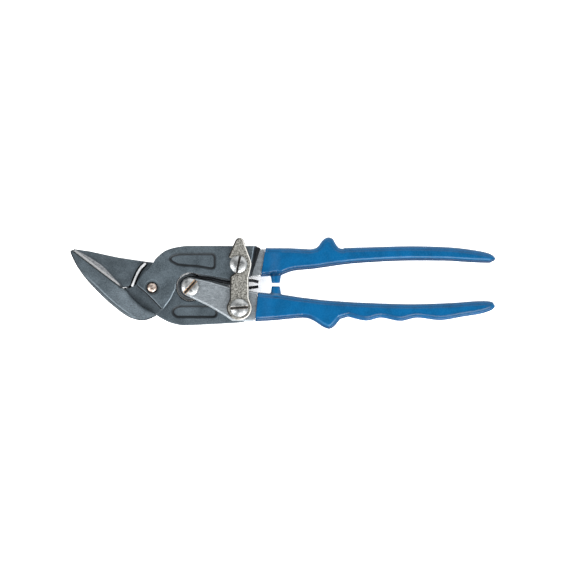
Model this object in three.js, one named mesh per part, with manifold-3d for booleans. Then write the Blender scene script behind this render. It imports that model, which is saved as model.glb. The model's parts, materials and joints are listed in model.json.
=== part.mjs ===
// Aviation snips with offset blades and compound leverage, lying flat.
//
// Axes: X runs from the blade tips to the handle ends, Y across the handles, Z up out of the flat side.
// The tool is made of two layers. The near layer (above Z = 0) holds the lower blade with the upper arm,
// and the lower handle's bar. The far layer (below Z = 0) holds the upper blade with the lower arm, and
// the upper handle's bar. Four pivots join them into a kite: the main pivot at the blades, one pivot at
// the end of each arm, and the handle pivot between the two bars.
//
// All lengths are millimetres and all angles are degrees. The drawing origin is the main pivot; the
// finished group is moved so that its origin is the middle of the underside.

import * as THREE from 'three';
import { mergeVertices } from 'three/addons/utils/BufferGeometryUtils.js';
import Module from 'manifold-3d';

// ---------- Driving dimensions ----------

// Kite of pivots, blades closed
const leverLength = 54.7;          // main pivot to either arm pivot
const handlePivotOffset = 23.3;    // main pivot to handle pivot
const armSpacing = 26.41;          // between the two arm pivots
const kiteTilt = 1.03;             // of the kite's axis from X

// Layers
const layerGap = 0.3;              // between the near and the far layer
const armThickness = 5.8;          // hub and arm of each forging
const barThickness = 4.4;          // steel bar of each handle at the pivots
const fitGap = 0.3;                // between any two parts that touch

// Blades
const edgeLength = 36.3;           // straight cutting edge of the lower blade
const edgeAngle = 142.6;           // direction of the edge from heel to tip
const edgeHeelX = -19.2;           // heel of the edge from the main pivot
const edgeHeelY = 0.4;
const shearHeight = 4.0;           // plane on which the blades shear
const lowerBladeThickness = 4.6;
const upperBladeThickness = 6.8;
const bladeOverlap = 1.5;          // of the closed blades, across the edge
const keelSetback = 3.2;           // solid root of the lower blade, back from the edge
const webThickness = 2.4;          // low floor of the sheet's passage beside the hub
const stepRadius = 22.2;           // wall where the upper blade rises from its hub

// Recesses round the handle pivot
const nearRecessRadius = 8.8;
const farRecessRadius = 8.8;
const lowerBarEndRadius = 5.9;
const upperBarEndRadius = 7.8;

// Main pivot
const pivotRadius = 4.0;
const pivotEndRadius = 3.1;
const pivotSinkRadius = 4.65;
const pivotHeadFlats = 13;
const pivotHeadHeight = 3.8;
const pivotWasherRadius = 8.2;
const pivotWasherThickness = 1.2;

// Slotted screws and their nuts
const shankRadius = 3.0;
const hookNeckRadius = 1.8;        // waist of the upper arm's screw, where the latch hooks on
const threadRadius = 2.5;
const threadStickOut = 0.8;
const upperHeadRadius = 5.4;
const lowerHeadRadius = 5.6;
const handleHeadRadius = 5.5;
const headHeight = 2.5;
const slotWidth = 1.2;
const slotDepth = 1.1;
const nutFlats = 10;
const nutThickness = 3.0;
const washerRadius = 5.6;
const washerThickness = 1.0;
const openPivotClearance = 0.55;   // round the lower arm's screw, where the linkage is opened

// Latch
const latchThickness = 2.0;
const latchEyeRadius = 7.7;
const latchTipRadius = 2.9;
const latchWasherRadius = 6.6;

// Handles
const gripFrontLength = 50;        // front of the coat to the end of the thumb stop
const gripRearLength = 93;         // from there to the end
const rearBarThickness = 5.4;      // steel inside the coat
const coatWall = 1.2;
const crankStart = 1.5;            // the bar's crank towards the middle, from the front of the coat
const crankLength = 8;
const stopGap = 2.0;               // between the two bumpers, handles closed
const stopWidth = 7.0;
const stopTaper = 1.0;             // on each side of a bumper, from its root to its tip
const stopSetback = 8.6;           // of the bumpers behind the fronts of the coats
const stopThickness = 6.0;

// Return spring
const wireDiameter = 1.9;
const coilGap = 0.2;                // between the spring's turns
const springBossRadius = 4.6;
const springPocketRadius = 8.3;

// ---------- Worked-out places ----------

const radians = THREE.MathUtils.degToRad;
const polar = (centre, radius, angle) => [
  centre[0] + radius * Math.cos(radians(angle)),
  centre[1] + radius * Math.sin(radians(angle)),
];
const from = (anchor, dx, dy) => [anchor[0] + dx, anchor[1] + dy];

const mainPivot = [0, 0];
const closedHalfAngle = THREE.MathUtils.radToDeg(Math.asin(armSpacing / 2 / leverLength));
const upperPivot = polar(mainPivot, leverLength, kiteTilt + closedHalfAngle);
const lowerPivot = polar(mainPivot, leverLength, kiteTilt - closedHalfAngle);
const handlePivot = polar(mainPivot, handlePivotOffset, kiteTilt);
const waist = 0.386 * (upperPivot[0] - handlePivot[0]);   // where the bars' edges and the spring's legs bend

const nearFloor = layerGap / 2;
const armTop = nearFloor + armThickness;
const barTop = nearFloor + barThickness;
const coatFrontTop = barTop + fitGap + coatWall;
const latchFloor = Math.max(armTop, coatFrontTop) + fitGap;
const latchTop = latchFloor + latchThickness;
const bladeFloor = shearHeight + layerGap / 2;
const raisedTop = shearHeight - layerGap / 2;
const springRise = 0.75 * (wireDiameter + coilGap);   // of either leg from the middle of the coil
const coilRadius = springBossRadius + fitGap + wireDiameter / 2;
const tall = 60;                   // height of cutting tools, more than the whole object

const heel = [edgeHeelX, edgeHeelY];
// A point beside the cutting edge: along it from the heel, and across it into the lower blade.
const besideEdge = (along, across) => polar(polar(heel, along, edgeAngle), across, edgeAngle + 90);

const upperCoatFront = { top: from(upperPivot, 16.5, 10.2), bottom: from(upperPivot, 13.4, -7.6) };
const lowerCoatFront = { top: from(lowerPivot, 11.4, 9.4), bottom: from(lowerPivot, 9.6, -8.6) };

// ---------- Outlines ----------

function arc(centre, radius, start, end, pieces = 12) {
  return Array.from({ length: pieces + 1 }, (_, i) => polar(centre, radius, start + ((end - start) * i) / pieces));
}

function curve(points, pieces = 4) {
  const spline = new THREE.SplineCurve(points.map(([x, y]) => new THREE.Vector2(x, y)));
  return spline.getPoints(pieces * (points.length - 1)).map((p) => [p.x, p.y]);
}

function shapeOf(points) {
  return new THREE.Shape(points.map(([x, y]) => new THREE.Vector2(x, y)));
}

// ---------- Solids ----------

const wasm = await Module();
wasm.setup();

function solid(geometry) {
  const bare = geometry.clone();
  bare.deleteAttribute('normal');
  bare.deleteAttribute('uv');
  const merged = mergeVertices(bare, 1e-4);
  return new wasm.Manifold(new wasm.Mesh({
    numProp: 3,
    vertProperties: new Float32Array(merged.attributes.position.array),
    triVerts: new Uint32Array(merged.index.array),
  }));
}

function geometryOf(body) {
  const mesh = body.getMesh();
  const geometry = new THREE.BufferGeometry();
  geometry.setAttribute('position', new THREE.BufferAttribute(new Float32Array(mesh.vertProperties), 3));
  geometry.setIndex(new THREE.BufferAttribute(new Uint32Array(mesh.triVerts), 1));
  geometry.computeVertexNormals();
  return geometry;
}

// Upright prism of an outline between two heights.
function prism(points, low, high) {
  const geometry = new THREE.ExtrudeGeometry(shapeOf(points), { depth: high - low, bevelEnabled: false });
  return solid(geometry.translate(0, 0, low));
}

// Prism of a side view, drawn in X and Z, that runs right across the tool.
function sideSlab(points) {
  const geometry = new THREE.ExtrudeGeometry(shapeOf(points), { depth: 2 * tall, bevelEnabled: false });
  return solid(geometry.rotateX(Math.PI / 2).translate(0, tall, 0));
}

// Turned piece on an upright axis; the profile lists radius and height and starts and ends on the axis.
function turned(centre, profile, sides = 28) {
  const points = profile.map(([r, z]) => new THREE.Vector2(r, z));
  const geometry = new THREE.LatheGeometry(points, sides).rotateX(Math.PI / 2);
  return solid(geometry.translate(centre[0], centre[1], 0));
}

function rod(centre, radius, low, high, sides = 28) {
  return turned(centre, [[0, low], [radius, low], [radius, high], [0, high]], sides);
}

// ---------- Return spring ----------

// Centreline of the return spring: a leg along each handle and one and a half turns between them.
const nearLeg = [
  from(upperPivot, 12.2, -10.8), from(upperPivot, 6.4, -9.8), from(upperPivot, -6.4, -11.0),
  from(handlePivot, waist, 5.1),
].map((point) => [...point, springRise]);
const coil = Array.from({ length: 25 }, (_, i) => (
  [...polar(handlePivot, coilRadius, 90 + 22.5 * i), springRise * (1 - i / 12)]
));
const farLeg = [
  from(handlePivot, waist, -4.8), from(lowerPivot, -6.9, 10.7), from(lowerPivot, 5.9, 12.0),
  from(lowerPivot, 11.6, 12.8),
].map((point) => [...point, -springRise]);

// Round wire along a centreline.
function wire(points, radius, steps) {
  const path = new THREE.CatmullRomCurve3(
    points.map((point) => new THREE.Vector3(...point)), false, 'centripetal',
  );
  const section = shapeOf(arc([0, 0], radius, 0, 315, 7));
  return solid(new THREE.ExtrudeGeometry(section, { steps, bevelEnabled: false, extrudePath: path }));
}

// Room for the leg of the spring that lies in the near or the far layer.
function legRoom(side) {
  const points = side > 0 ? [...nearLeg, ...coil.slice(0, 3)] : [...coil.slice(-3), ...farLeg];
  return wire(points, wireDiameter / 2 + fitGap, 36);
}

const returnSpring = () => wire([...nearLeg, ...coil, ...farLeg], wireDiameter / 2, 88);

// ---------- Forgings ----------

// Lower blade with the upper arm, all in the near layer.
function lowerBladeLever() {
  const recess = arc(handlePivot, nearRecessRadius, 92, 186);
  const cheek = [
    [-9.6, 3.0], [-9.0, 1.3], [-3.9, -2.7], [1.6, -8.2], [6.5, -13.6], [11.4, -7.0],
    ...recess.reverse(),
    from(upperPivot, -6.5, -8.9),
    from(upperPivot, 8.2, -7.1),
    from(upperPivot, 13.7, 10.1),
    from(upperPivot, 10.7, 11.3),
    ...curve([[20.6, 25.5], [13.2, 24.3], [7.4, 22.1], [2.2, 17.7]]),
    ...curve([[0.3, 14.5], [-2.5, 11.0], [-5.2, 9.0]], 2),
  ];
  const crescentBack = curve([
    besideEdge(-28.2, 0.6), besideEdge(-25.1, 6.2), besideEdge(-20.5, 9.8), besideEdge(-12.8, 11.9),
    besideEdge(1.1, 11.7), besideEdge(0.46 * edgeLength, 9.6), besideEdge(0.78 * edgeLength, 6.3),
    besideEdge(edgeLength, 2.4),
  ]);
  const blade = [
    besideEdge(edgeLength + 0.7, 0),
    heel,
    [-16.2, -1.5], [-12.5, -5.8], [-8.8, -9.4], [-3.9, -13.1], [0.4, -14.9],
    ...crescentBack,
    besideEdge(edgeLength + 1.6, 0.9),
  ];
  const keel = [
    besideEdge(0.55 * edgeLength, keelSetback),
    besideEdge(-3, keelSetback),
    [-12.5, -5.8], [-8.8, -9.4], [-3.9, -13.1], [0.4, -14.9],
    ...crescentBack.slice(0, -9),
  ];
  const web = [
    [-9.3, 2.4], [-11.2, -0.6], besideEdge(-3, keelSetback + 0.4), besideEdge(-6, 9),
    besideEdge(-20.5, 9), [3.1, -16.3], [6.3, -13.4], [3, -5],
  ];
  const body = prism(cheek.reverse(), nearFloor, armTop)
    .add(prism(web.reverse(), nearFloor, nearFloor + webThickness))
    .add(prism(keel, nearFloor, bladeFloor + 1))
    .add(prism(blade, bladeFloor, bladeFloor + lowerBladeThickness));
  const sinkDepth = pivotSinkRadius - pivotEndRadius;
  const pivotBore = turned(mainPivot, [
    [0, -tall], [pivotRadius + fitGap, -tall], [pivotRadius + fitGap, armTop / 2],
    [pivotEndRadius + fitGap, armTop / 2], [pivotEndRadius + fitGap, armTop - sinkDepth + fitGap],
    [pivotSinkRadius, armTop], [pivotSinkRadius, tall], [0, tall],
  ]);
  const panel = [
    from(upperPivot, -42.2, 4.5), from(upperPivot, -39.0, 1.6), from(upperPivot, -29.8, -1.2),
    from(upperPivot, -15.7, -3.0), from(upperPivot, -14.2, -2.1), from(upperPivot, -14.2, 5.6),
    from(upperPivot, -14.9, 6.5), from(upperPivot, -36.8, 6.5),
  ];
  return body
    .subtract(pivotBore)
    .subtract(rod(upperPivot, shankRadius + fitGap, -tall, tall))
    .subtract(prism(panel, armTop - 0.6, tall))
    .subtract(legRoom(1));
}

// Upper blade with the lower arm: hub and arm in the far layer, blade raised to the shear plane.
function upperBladeLever() {
  const armEnd = 9.3;
  const bladeTop = [[-38, 22.2], [-30.9, 20.6], [-16.2, 17.5], [-5.1, 16.0], [-0.2, 15.4]];
  const hub = [
    ...curve([[-20, 18.3], [-5.1, 16.0], [-0.2, 15.4], [7.5, 12.9], [12, 9.2]], 2),
    ...arc(handlePivot, farRecessRadius, 138, 268),
    from(lowerPivot, -7.0, 8.6),
    ...arc(lowerPivot, armEnd, 95, -88),
    ...curve([
      from(lowerPivot, -3.3, -9.6), from(lowerPivot, -18, -10.4), [20.6, -23.3], [14.5, -22.6],
      [9.6, -21.1], [4.6, -18.5],
    ]),
    [2.8, -17.3], [-5, -13.5], [-11, -7], [-13.6, -1.5], [-17.5, 0.6], [-22, 8],
  ];
  const tip = besideEdge(edgeLength + 1.2, 0.6);
  const stepCentre = [10.0, -2.3];
  const raised = [
    tip,
    besideEdge(0.5, bladeOverlap),
    ...arc(stepCentre, stepRadius, 170.5, 126, 8),
    ...bladeTop.slice(2, -1).reverse(),
    ...bladeTop.slice(0, 2).reverse(),
    from(tip, 1.6, 0.9),
  ];
  const pocket = [
    from(handlePivot, -9.6, -17.4), from(handlePivot, -7.4, -19.2), from(lowerPivot, -14.9, -6.4),
    from(lowerPivot, -13.2, -4.2), from(handlePivot, 6.0, -11.2), from(handlePivot, -4.9, -11.2),
    from(handlePivot, -11.2, -15.0),
  ];
  return prism(hub.reverse(), -armTop, -nearFloor)
    .add(prism(raised, raisedTop - upperBladeThickness, raisedTop))
    .subtract(rod(mainPivot, pivotRadius + fitGap, -tall, tall))
    .subtract(rod(lowerPivot, shankRadius + openPivotClearance, -tall, tall))
    .subtract(prism(pocket, -nearFloor - 0.8, tall))
    .subtract(legRoom(-1));
}

// ---------- Handles ----------

// Steel inside a coat: stations of X, centre and half width.
const upperFront = upperCoatFront.top[0];
const lowerFront = lowerCoatFront.top[0];
const gripRearStart = (upperPivot[0] + lowerPivot[0]) / 2 + 14 + gripFrontLength;
const alongRear = (share) => gripRearStart + share * gripRearLength;   // the same on both handles
const upperStations = [
  [upperFront - 5, 15.3, 7.2], [upperFront + 8, 15.8, 6.2], [upperFront + 19, 17.4, 4.9],
  [upperFront + 34, 18.0, 4.4], [alongRear(0), 19.5, 3.3], [alongRear(0.35), 20.9, 3.0],
  [alongRear(0.7), 20.4, 2.6], [alongRear(0.93), 18.6, 1.7],
];
const lowerStations = [
  [lowerFront - 4, -11.9, 7.4], [lowerFront + 8, -12.0, 6.3], [lowerFront + 22, -12.2, 4.9],
  [lowerFront + 36, -12.9, 3.9], [alongRear(0.03), -13.4, 2.9], [alongRear(0.35), -15.1, 3.0],
  [alongRear(0.68), -14.4, 2.7], [alongRear(0.93), -11.7, 1.7],
];

// The heights of the stations were drawn with each arm pivot in its standard place.
const drawnUpperY = 14.2;
const drawnLowerY = -12.2;
const shiftUpper = upperPivot[1] - drawnUpperY;
const shiftLower = lowerPivot[1] - drawnLowerY;

// Outline of a strip through stations, with a rounded end.
function stripOutline(stations, lift, grow) {
  const [lastX, lastY, lastHalf] = stations.at(-1);
  const top = stations.map(([x, y, half]) => [x, y + lift + half + grow]);
  const bottom = stations.map(([x, y, half]) => [x, y + lift - half - grow]);
  const endCentre = [lastX, lastY + lift];
  return [...bottom, ...arc(endCentre, lastHalf + grow, -60, 60, 4), ...top.reverse()];
}

// Side view of a bar: flat at the pivots, then cranked to the middle of the tool inside its coat.
function crankedSide(side, start, front, grow) {
  const outer = side * barTop;
  const inner = side * nearFloor;
  const high = Math.max(outer, inner) + grow;
  const low = Math.min(outer, inner) - grow;
  const rear = rearBarThickness / 2 + grow;
  const crankX = front + crankStart;
  return sideSlab([
    [start, low], [crankX, low], [crankX + crankLength, -rear], [front + tall * 4, -rear],
    [front + tall * 4, rear], [crankX + crankLength, rear], [crankX, high], [start, high],
  ]);
}

// Pocket in a bar's inner face for the spring's coil, round a boss that seats on the other bar.
function springPocket(side) {
  const depth = springRise + wireDiameter / 2 + fitGap;
  const boss = rod(handlePivot, springBossRadius, -tall, tall);
  const low = side > 0 ? -tall : -depth;
  const high = side > 0 ? depth : tall;
  return rod(handlePivot, springPocketRadius, low, high).subtract(boss).add(legRoom(side));
}

function upperHandleBar() {
  const plate = [
    ...arc(handlePivot, upperBarEndRadius, 105, 265),
    from(handlePivot, waist, wireDiameter / 2 - 3.65),
    from(upperPivot, -6.3, -13.1),
    from(upperPivot, 5.2, -8.3),
    from(upperPivot, 8.2, -7.3),
    from(upperCoatFront.bottom, -fitGap, 0.3),
    from(upperCoatFront.top, -fitGap, -0.4),
    from(upperPivot, 10.7, 9.1),
    from(upperPivot, -4.0, 8.2),
    from(upperPivot, -7.9, 5.2),
    from(handlePivot, waist, 13.0),
  ];
  return prism(plate, -tall, tall)
    .add(prism(stripOutline(upperStations, shiftUpper, 0), -tall, tall))
    .intersect(crankedSide(-1, -tall, upperFront, 0))
    .subtract(rod(handlePivot, shankRadius + fitGap, -tall, tall))
    .subtract(rod(upperPivot, shankRadius + fitGap, -tall, tall))
    .subtract(springPocket(-1));
}

function lowerHandleBar() {
  const plate = [
    ...arc(handlePivot, lowerBarEndRadius, 76, 238),
    from(handlePivot, waist, -12.0),
    from(lowerPivot, -8.4, -5.3),
    from(lowerPivot, -4.5, -8.0),
    from(lowerCoatFront.bottom, -fitGap, 0),
    from(lowerCoatFront.top, -fitGap, 0),
    from(lowerPivot, 6.5, 10.1),
    from(lowerPivot, -6.8, 12.9),
    from(handlePivot, waist, 4.55 - wireDiameter / 2),
  ];
  return prism(plate, -tall, tall)
    .add(prism(stripOutline(lowerStations, shiftLower, 0), -tall, tall))
    .intersect(crankedSide(1, -tall, lowerFront, 0))
    .subtract(rod(handlePivot, shankRadius + fitGap, -tall, tall))
    .subtract(rod(lowerPivot, shankRadius + fitGap, -tall, tall))
    .subtract(springPocket(1));
}

// Peg that stops the handles; it faces the other handle's peg across the stop gap.
function bumper(side) {
  const middle = (upperPivot[1] + lowerPivot[1]) / 2 + 0.8;
  const tip = middle + side * stopGap / 2;
  const root = side > 0 ? upperCoatFront.bottom[1] + 2.7 : lowerCoatFront.top[1] - 2.7;
  const x = (upperFront + lowerFront) / 2 + stopSetback;
  const points = [
    [x - stopWidth / 2, root], [x - stopWidth / 2 + stopTaper, tip], [x + stopWidth / 2 - stopTaper, tip],
    [x + stopWidth / 2, root],
  ];
  return prism(side > 0 ? points : points.reverse(), -stopThickness / 2, stopThickness / 2);
}

// Coat over a bar: its outline in plan, as thick all over as its wall, and open at the front.
function coat(outline, side, front, stations, lift) {
  const wall = fitGap + coatWall;
  const cavity = prism(stripOutline(stations, lift, fitGap), -tall, tall)
    .intersect(crankedSide(side, -tall, front, fitGap));
  return prism(outline, -tall, tall)
    .intersect(crankedSide(side, -tall, front, wall))
    .add(bumper(-side))
    .subtract(cavity);
}

function upperHandleGrip() {
  const front = (distance, y) => [upperFront + distance, y + shiftUpper];
  const rear = (share, y) => [alongRear(share), y + shiftUpper];
  const outline = [
    upperCoatFront.bottom,
    ...curve([front(10, 7.7), front(17, 10.2), front(30, 11.5), front(46, 13.8), rear(0.11, 15.0),
      rear(0.38, 16.3), rear(0.66, 16.3), rear(0.78, 15.7), rear(0.9, 15.1), rear(0.965, 15.3)], 2),
    ...curve([rear(0.995, 16.6), rear(1, 18.1), rear(0.975, 20.4), rear(0.94, 21.6), rear(0.86, 23.1),
      rear(0.7, 24.8), rear(0.45, 25.5), rear(0.18, 24.9), rear(0, 24.4)], 2),
    ...curve([front(47.7, 23.9), front(45.3, 24.3), front(42.2, 28.2), front(40.7, 30.1), front(38.6, 30.9),
      front(36.6, 30.2), front(34.6, 28.6), front(30.9, 24.4), front(27.4, 23.6)], 2),
    front(14, 24.3),
    upperCoatFront.top,
  ];
  return coat(outline, -1, upperFront, upperStations, shiftUpper);
}

function lowerHandleGrip() {
  const front = (distance, y) => [lowerFront + distance, y + shiftLower];
  const rear = (share, y) => [alongRear(share), y + shiftLower];
  const outline = [
    lowerCoatFront.bottom,
    ...curve([front(10, -20.2), front(21, -19.1), front(29, -18.7), front(34, -20.4), front(39.5, -24.0),
      front(43.6, -25.4), front(46.9, -23.6), front(50.3, -19.4)], 2),
    ...curve([rear(0.03, -18.0), rear(0.148, -20.4), rear(0.247, -18.6), rear(0.372, -20.6),
      rear(0.483, -18.6), rear(0.61, -20.0), rear(0.68, -19.7), rear(0.78, -18.0), rear(0.9, -16.2),
      rear(0.975, -13.9), rear(1, -11.4)], 2),
    ...curve([rear(0.985, -8.9), rear(0.95, -8.1), rear(0.86, -8.2), rear(0.7, -9.3), rear(0.42, -10.0),
      rear(0.07, -8.9)], 2),
    front(40, -7.6), front(26, -5.9), front(15, -4.2),
    lowerCoatFront.top,
  ];
  return coat(outline, 1, lowerFront, lowerStations, shiftLower);
}

// ---------- Fasteners ----------

// Slotted screw: domed head above the seat, shank down through both pieces, thread through the nut.
function slottedScrew(centre, headRadius, slotAngle, seat, profileBelow) {
  const profile = [
    ...profileBelow,
    [headRadius, seat], [headRadius, seat + 0.45 * headHeight],
    [0.85 * headRadius, seat + 0.75 * headHeight], [0.5 * headRadius, seat + 0.95 * headHeight],
    [0, seat + headHeight],
  ];
  const cutter = new THREE.BoxGeometry(3 * headRadius, slotWidth, 2 * slotDepth);
  cutter.rotateZ(radians(slotAngle)).translate(centre[0], centre[1], seat + headHeight);
  return turned(centre, profile).subtract(solid(cutter));
}

function threadedEnd(bearing) {
  const nutBase = bearing - 2 * fitGap - washerThickness - nutThickness;
  return [[0, nutBase - threadStickOut], [threadRadius, nutBase - threadStickOut], [threadRadius, bearing],
    [shankRadius, bearing]];
}

function washer(centre, bearing) {
  const high = bearing - fitGap;
  return rod(centre, washerRadius, high - washerThickness, high)
    .subtract(rod(centre, shankRadius + fitGap, -tall, tall));
}

function hexagon(centre, flats) {
  return arc(centre, flats / Math.sqrt(3), 30, 330, 5);
}

function nut(centre, bearing) {
  const high = bearing - 2 * fitGap - washerThickness;
  return prism(hexagon(centre, nutFlats), high - nutThickness, high)
    .subtract(rod(centre, threadRadius + fitGap, -tall, tall));
}

function mainPivotBolt() {
  const bearing = -armTop - 2 * fitGap - pivotWasherThickness;
  const shoulder = armTop / 2 - fitGap;
  const shank = turned(mainPivot, [
    [0, bearing - 1], [pivotRadius, bearing - 1], [pivotRadius, shoulder], [pivotEndRadius, shoulder],
    [pivotEndRadius, armTop - 0.9], [0.7 * pivotEndRadius, armTop - 0.35], [0, armTop - 0.1],
  ]);
  return shank.add(prism(hexagon(mainPivot, pivotHeadFlats), bearing - pivotHeadHeight, bearing));
}

function mainPivotWasher() {
  const high = -armTop - fitGap;
  return rod(mainPivot, pivotWasherRadius, high - pivotWasherThickness, high)
    .subtract(rod(mainPivot, pivotRadius + fitGap, -tall, tall));
}

// ---------- Latch ----------

// Locking lever on the lower arm's screw; its notch, open to the left, hooks the upper arm's screw.
function latch() {
  const outline = [
    ...arc(upperPivot, latchTipRadius, 155, 15, 8).map(([x, y]) => [x + 0.7, y + 13.3]),
    from(upperPivot, 4.3, 11.4),
    from(upperPivot, 8.0, 1.2), from(upperPivot, 8.0, -0.8), from(upperPivot, 6.2, -8.3),
    from(lowerPivot, 5.9, 5.8),
    ...arc(lowerPivot, latchEyeRadius, 12, -190, 20),
    from(lowerPivot, -5.8, 5.0),
    from(upperPivot, -5.0, -7.4), from(upperPivot, -2.2, -5.2),
    ...arc(upperPivot, hookNeckRadius + 0.6, -60, 80, 6),
    from(upperPivot, -5.6, 4.0),
    from(upperPivot, -6.2, 4.9),
  ];
  return prism(outline.reverse(), latchFloor, latchTop)
    .subtract(rod(lowerPivot, shankRadius + fitGap, -tall, tall));
}

function latchWasher() {
  return rod(lowerPivot, latchWasherRadius, barTop + fitGap, latchFloor - fitGap)
    .subtract(rod(lowerPivot, shankRadius + fitGap, -tall, tall));
}

// ---------- Assembly ----------

const finishes = {
  forging: { color: 0x5b666b, roughness: 0.5, metalness: 0.6 },
  bar: { color: 0xa9abab, roughness: 0.4, metalness: 0.9 },
  coat: { color: 0x0968a8, roughness: 0.3, metalness: 0.0 },
  zinc: { color: 0xc9c9c4, roughness: 0.25, metalness: 1.0 },
  latch: { color: 0xa39c90, roughness: 0.45, metalness: 0.9 },
  copper: { color: 0xc99a86, roughness: 0.35, metalness: 1.0 },
  spring: { color: 0x3a3a3c, roughness: 0.35, metalness: 0.9 },
};

const tool = new THREE.Group();

function place(name, body, finish) {
  const mesh = new THREE.Mesh(geometryOf(body), new THREE.MeshStandardMaterial(finishes[finish]));
  mesh.name = name;
  tool.add(mesh);
}

const headSeat = latchTop + fitGap;
const handleSeat = barTop + fitGap;
const upperScrewShank = [...threadedEnd(-barTop), [shankRadius, armTop], [hookNeckRadius, armTop], [hookNeckRadius, headSeat]];
const lowerScrewShank = [...threadedEnd(-armTop), [shankRadius, headSeat]];
const handleScrewShank = [...threadedEnd(-barTop), [shankRadius, handleSeat]];

place('lower_blade_lever', lowerBladeLever(), 'forging');
place('upper_blade_lever', upperBladeLever(), 'forging');
place('main_pivot_bolt', mainPivotBolt(), 'copper');
place('main_pivot_washer', mainPivotWasher(), 'zinc');
place('upper_handle_bar', upperHandleBar(), 'bar');
place('upper_handle_grip', upperHandleGrip(), 'coat');
place('lower_handle_bar', lowerHandleBar(), 'bar');
place('lower_handle_grip', lowerHandleGrip(), 'coat');
place('upper_arm_screw', slottedScrew(upperPivot, upperHeadRadius, 78, headSeat, upperScrewShank), 'zinc');
place('upper_arm_washer', washer(upperPivot, -barTop), 'zinc');
place('upper_arm_nut', nut(upperPivot, -barTop), 'zinc');
place('lower_arm_screw', slottedScrew(lowerPivot, lowerHeadRadius, 5, headSeat, lowerScrewShank), 'zinc');
place('lower_arm_washer', washer(lowerPivot, -armTop), 'zinc');
place('lower_arm_nut', nut(lowerPivot, -armTop), 'zinc');
place('handle_pivot_screw', slottedScrew(handlePivot, handleHeadRadius, 50, handleSeat, handleScrewShank), 'zinc');
place('handle_pivot_washer', washer(handlePivot, -barTop), 'zinc');
place('handle_pivot_nut', nut(handlePivot, -barTop), 'zinc');
place('latch', latch(), 'latch');
place('latch_washer', latchWasher(), 'zinc');
place('return_spring', returnSpring(), 'spring');

const box = new THREE.Box3().setFromObject(tool);
const middle = box.getCenter(new THREE.Vector3());
tool.position.set(-middle.x, -middle.y, -box.min.z);
tool.updateMatrixWorld(true);

export default tool;
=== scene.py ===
# Aviation snips lying flat, seen straight from above.
# Each piece is shaped in millimetres as a distance field, negative inside the material, and then skinned
# with quads. X and Y are measured from the main pivot, Z from the floor.

import json
import math

import bpy
import numpy as np
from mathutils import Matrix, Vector


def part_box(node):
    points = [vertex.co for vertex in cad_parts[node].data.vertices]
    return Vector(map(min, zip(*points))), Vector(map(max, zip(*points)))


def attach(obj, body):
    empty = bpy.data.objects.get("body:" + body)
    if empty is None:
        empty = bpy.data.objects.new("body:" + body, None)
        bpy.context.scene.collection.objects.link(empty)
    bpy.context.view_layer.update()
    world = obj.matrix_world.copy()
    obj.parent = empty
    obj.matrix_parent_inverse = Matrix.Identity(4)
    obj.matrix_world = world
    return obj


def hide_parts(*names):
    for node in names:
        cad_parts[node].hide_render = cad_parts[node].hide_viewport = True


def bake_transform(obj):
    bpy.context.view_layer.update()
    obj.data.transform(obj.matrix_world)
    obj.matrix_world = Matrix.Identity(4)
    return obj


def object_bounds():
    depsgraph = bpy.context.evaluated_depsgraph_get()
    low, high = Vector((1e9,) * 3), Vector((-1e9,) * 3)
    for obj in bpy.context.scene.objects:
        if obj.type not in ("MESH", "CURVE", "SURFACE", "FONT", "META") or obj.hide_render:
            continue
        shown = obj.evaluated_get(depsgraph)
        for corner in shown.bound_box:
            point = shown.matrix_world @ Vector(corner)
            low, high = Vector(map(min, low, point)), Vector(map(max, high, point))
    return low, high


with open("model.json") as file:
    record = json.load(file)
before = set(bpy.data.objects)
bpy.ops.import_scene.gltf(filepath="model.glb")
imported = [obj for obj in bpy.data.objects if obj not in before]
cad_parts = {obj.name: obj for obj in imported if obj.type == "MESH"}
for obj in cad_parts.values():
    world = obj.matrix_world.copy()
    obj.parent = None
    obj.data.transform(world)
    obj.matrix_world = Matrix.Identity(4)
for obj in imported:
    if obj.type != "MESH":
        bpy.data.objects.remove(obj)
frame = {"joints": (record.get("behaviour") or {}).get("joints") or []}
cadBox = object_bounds()
print("frame loaded")

millimetre = 0.001
diagonal = 0.7071


def jointPlace(name):
    joint = next(j for j in frame["joints"] if j["name"] == name)
    return np.array(joint["pos_m"]) / millimetre


origin = jointPlace("blade_pivot")
mainPivot = (0.0, 0.0)
upperPivot = tuple((jointPlace("upper_handle_pivot") - origin)[:2])
lowerPivot = tuple((jointPlace("latch_pivot") - origin)[:2])
handlePivot = tuple((jointPlace("handle_pivot") - origin)[:2])


def heights(node):
    low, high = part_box(node)
    return low.z / millimetre, high.z / millimetre


def offset(anchor, dx, dy):
    return (anchor[0] + dx, anchor[1] + dy)


def offsets(anchor, *steps):
    return [offset(anchor, dx, dy) for dx, dy in steps]


def polar(centre, radius, angle):
    turn = math.radians(angle)
    return (centre[0] + radius * math.cos(turn), centre[1] + radius * math.sin(turn))


def arc(centre, radius, start, end, pieces=20):
    return [polar(centre, radius, start + (end - start) * i / pieces) for i in range(pieces + 1)]


def curve(points, pieces=6):
    # smooth line through the points
    padded = [points[0], *points, points[-1]]
    line = []
    for a, b, c, d in zip(padded, padded[1:], padded[2:], padded[3:]):
        a, b, c, d = (np.array(p, float) for p in (a, b, c, d))
        out, into = (c - a) / 2, (d - b) / 2
        for i in range(pieces):
            t = i / pieces
            spot = (2 * b - 2 * c + out + into) * t**3 + (3 * c - 3 * b - 2 * out - into) * t**2 + out * t + b
            line.append(tuple(spot))
    line.append(tuple(float(v) for v in points[-1]))
    return line


# Distance fields

class Block:
    # box of sample points round one piece
    def __init__(self, low, high, step):
        self.step = step
        self.axes = [np.arange(a - 2.5 * step, b + 3.5 * step, step) for a, b in zip(low, high)]
        self.x = self.axes[0][:, None, None]
        self.y = self.axes[1][None, :, None]
        self.z = self.axes[2][None, None, :]


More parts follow.
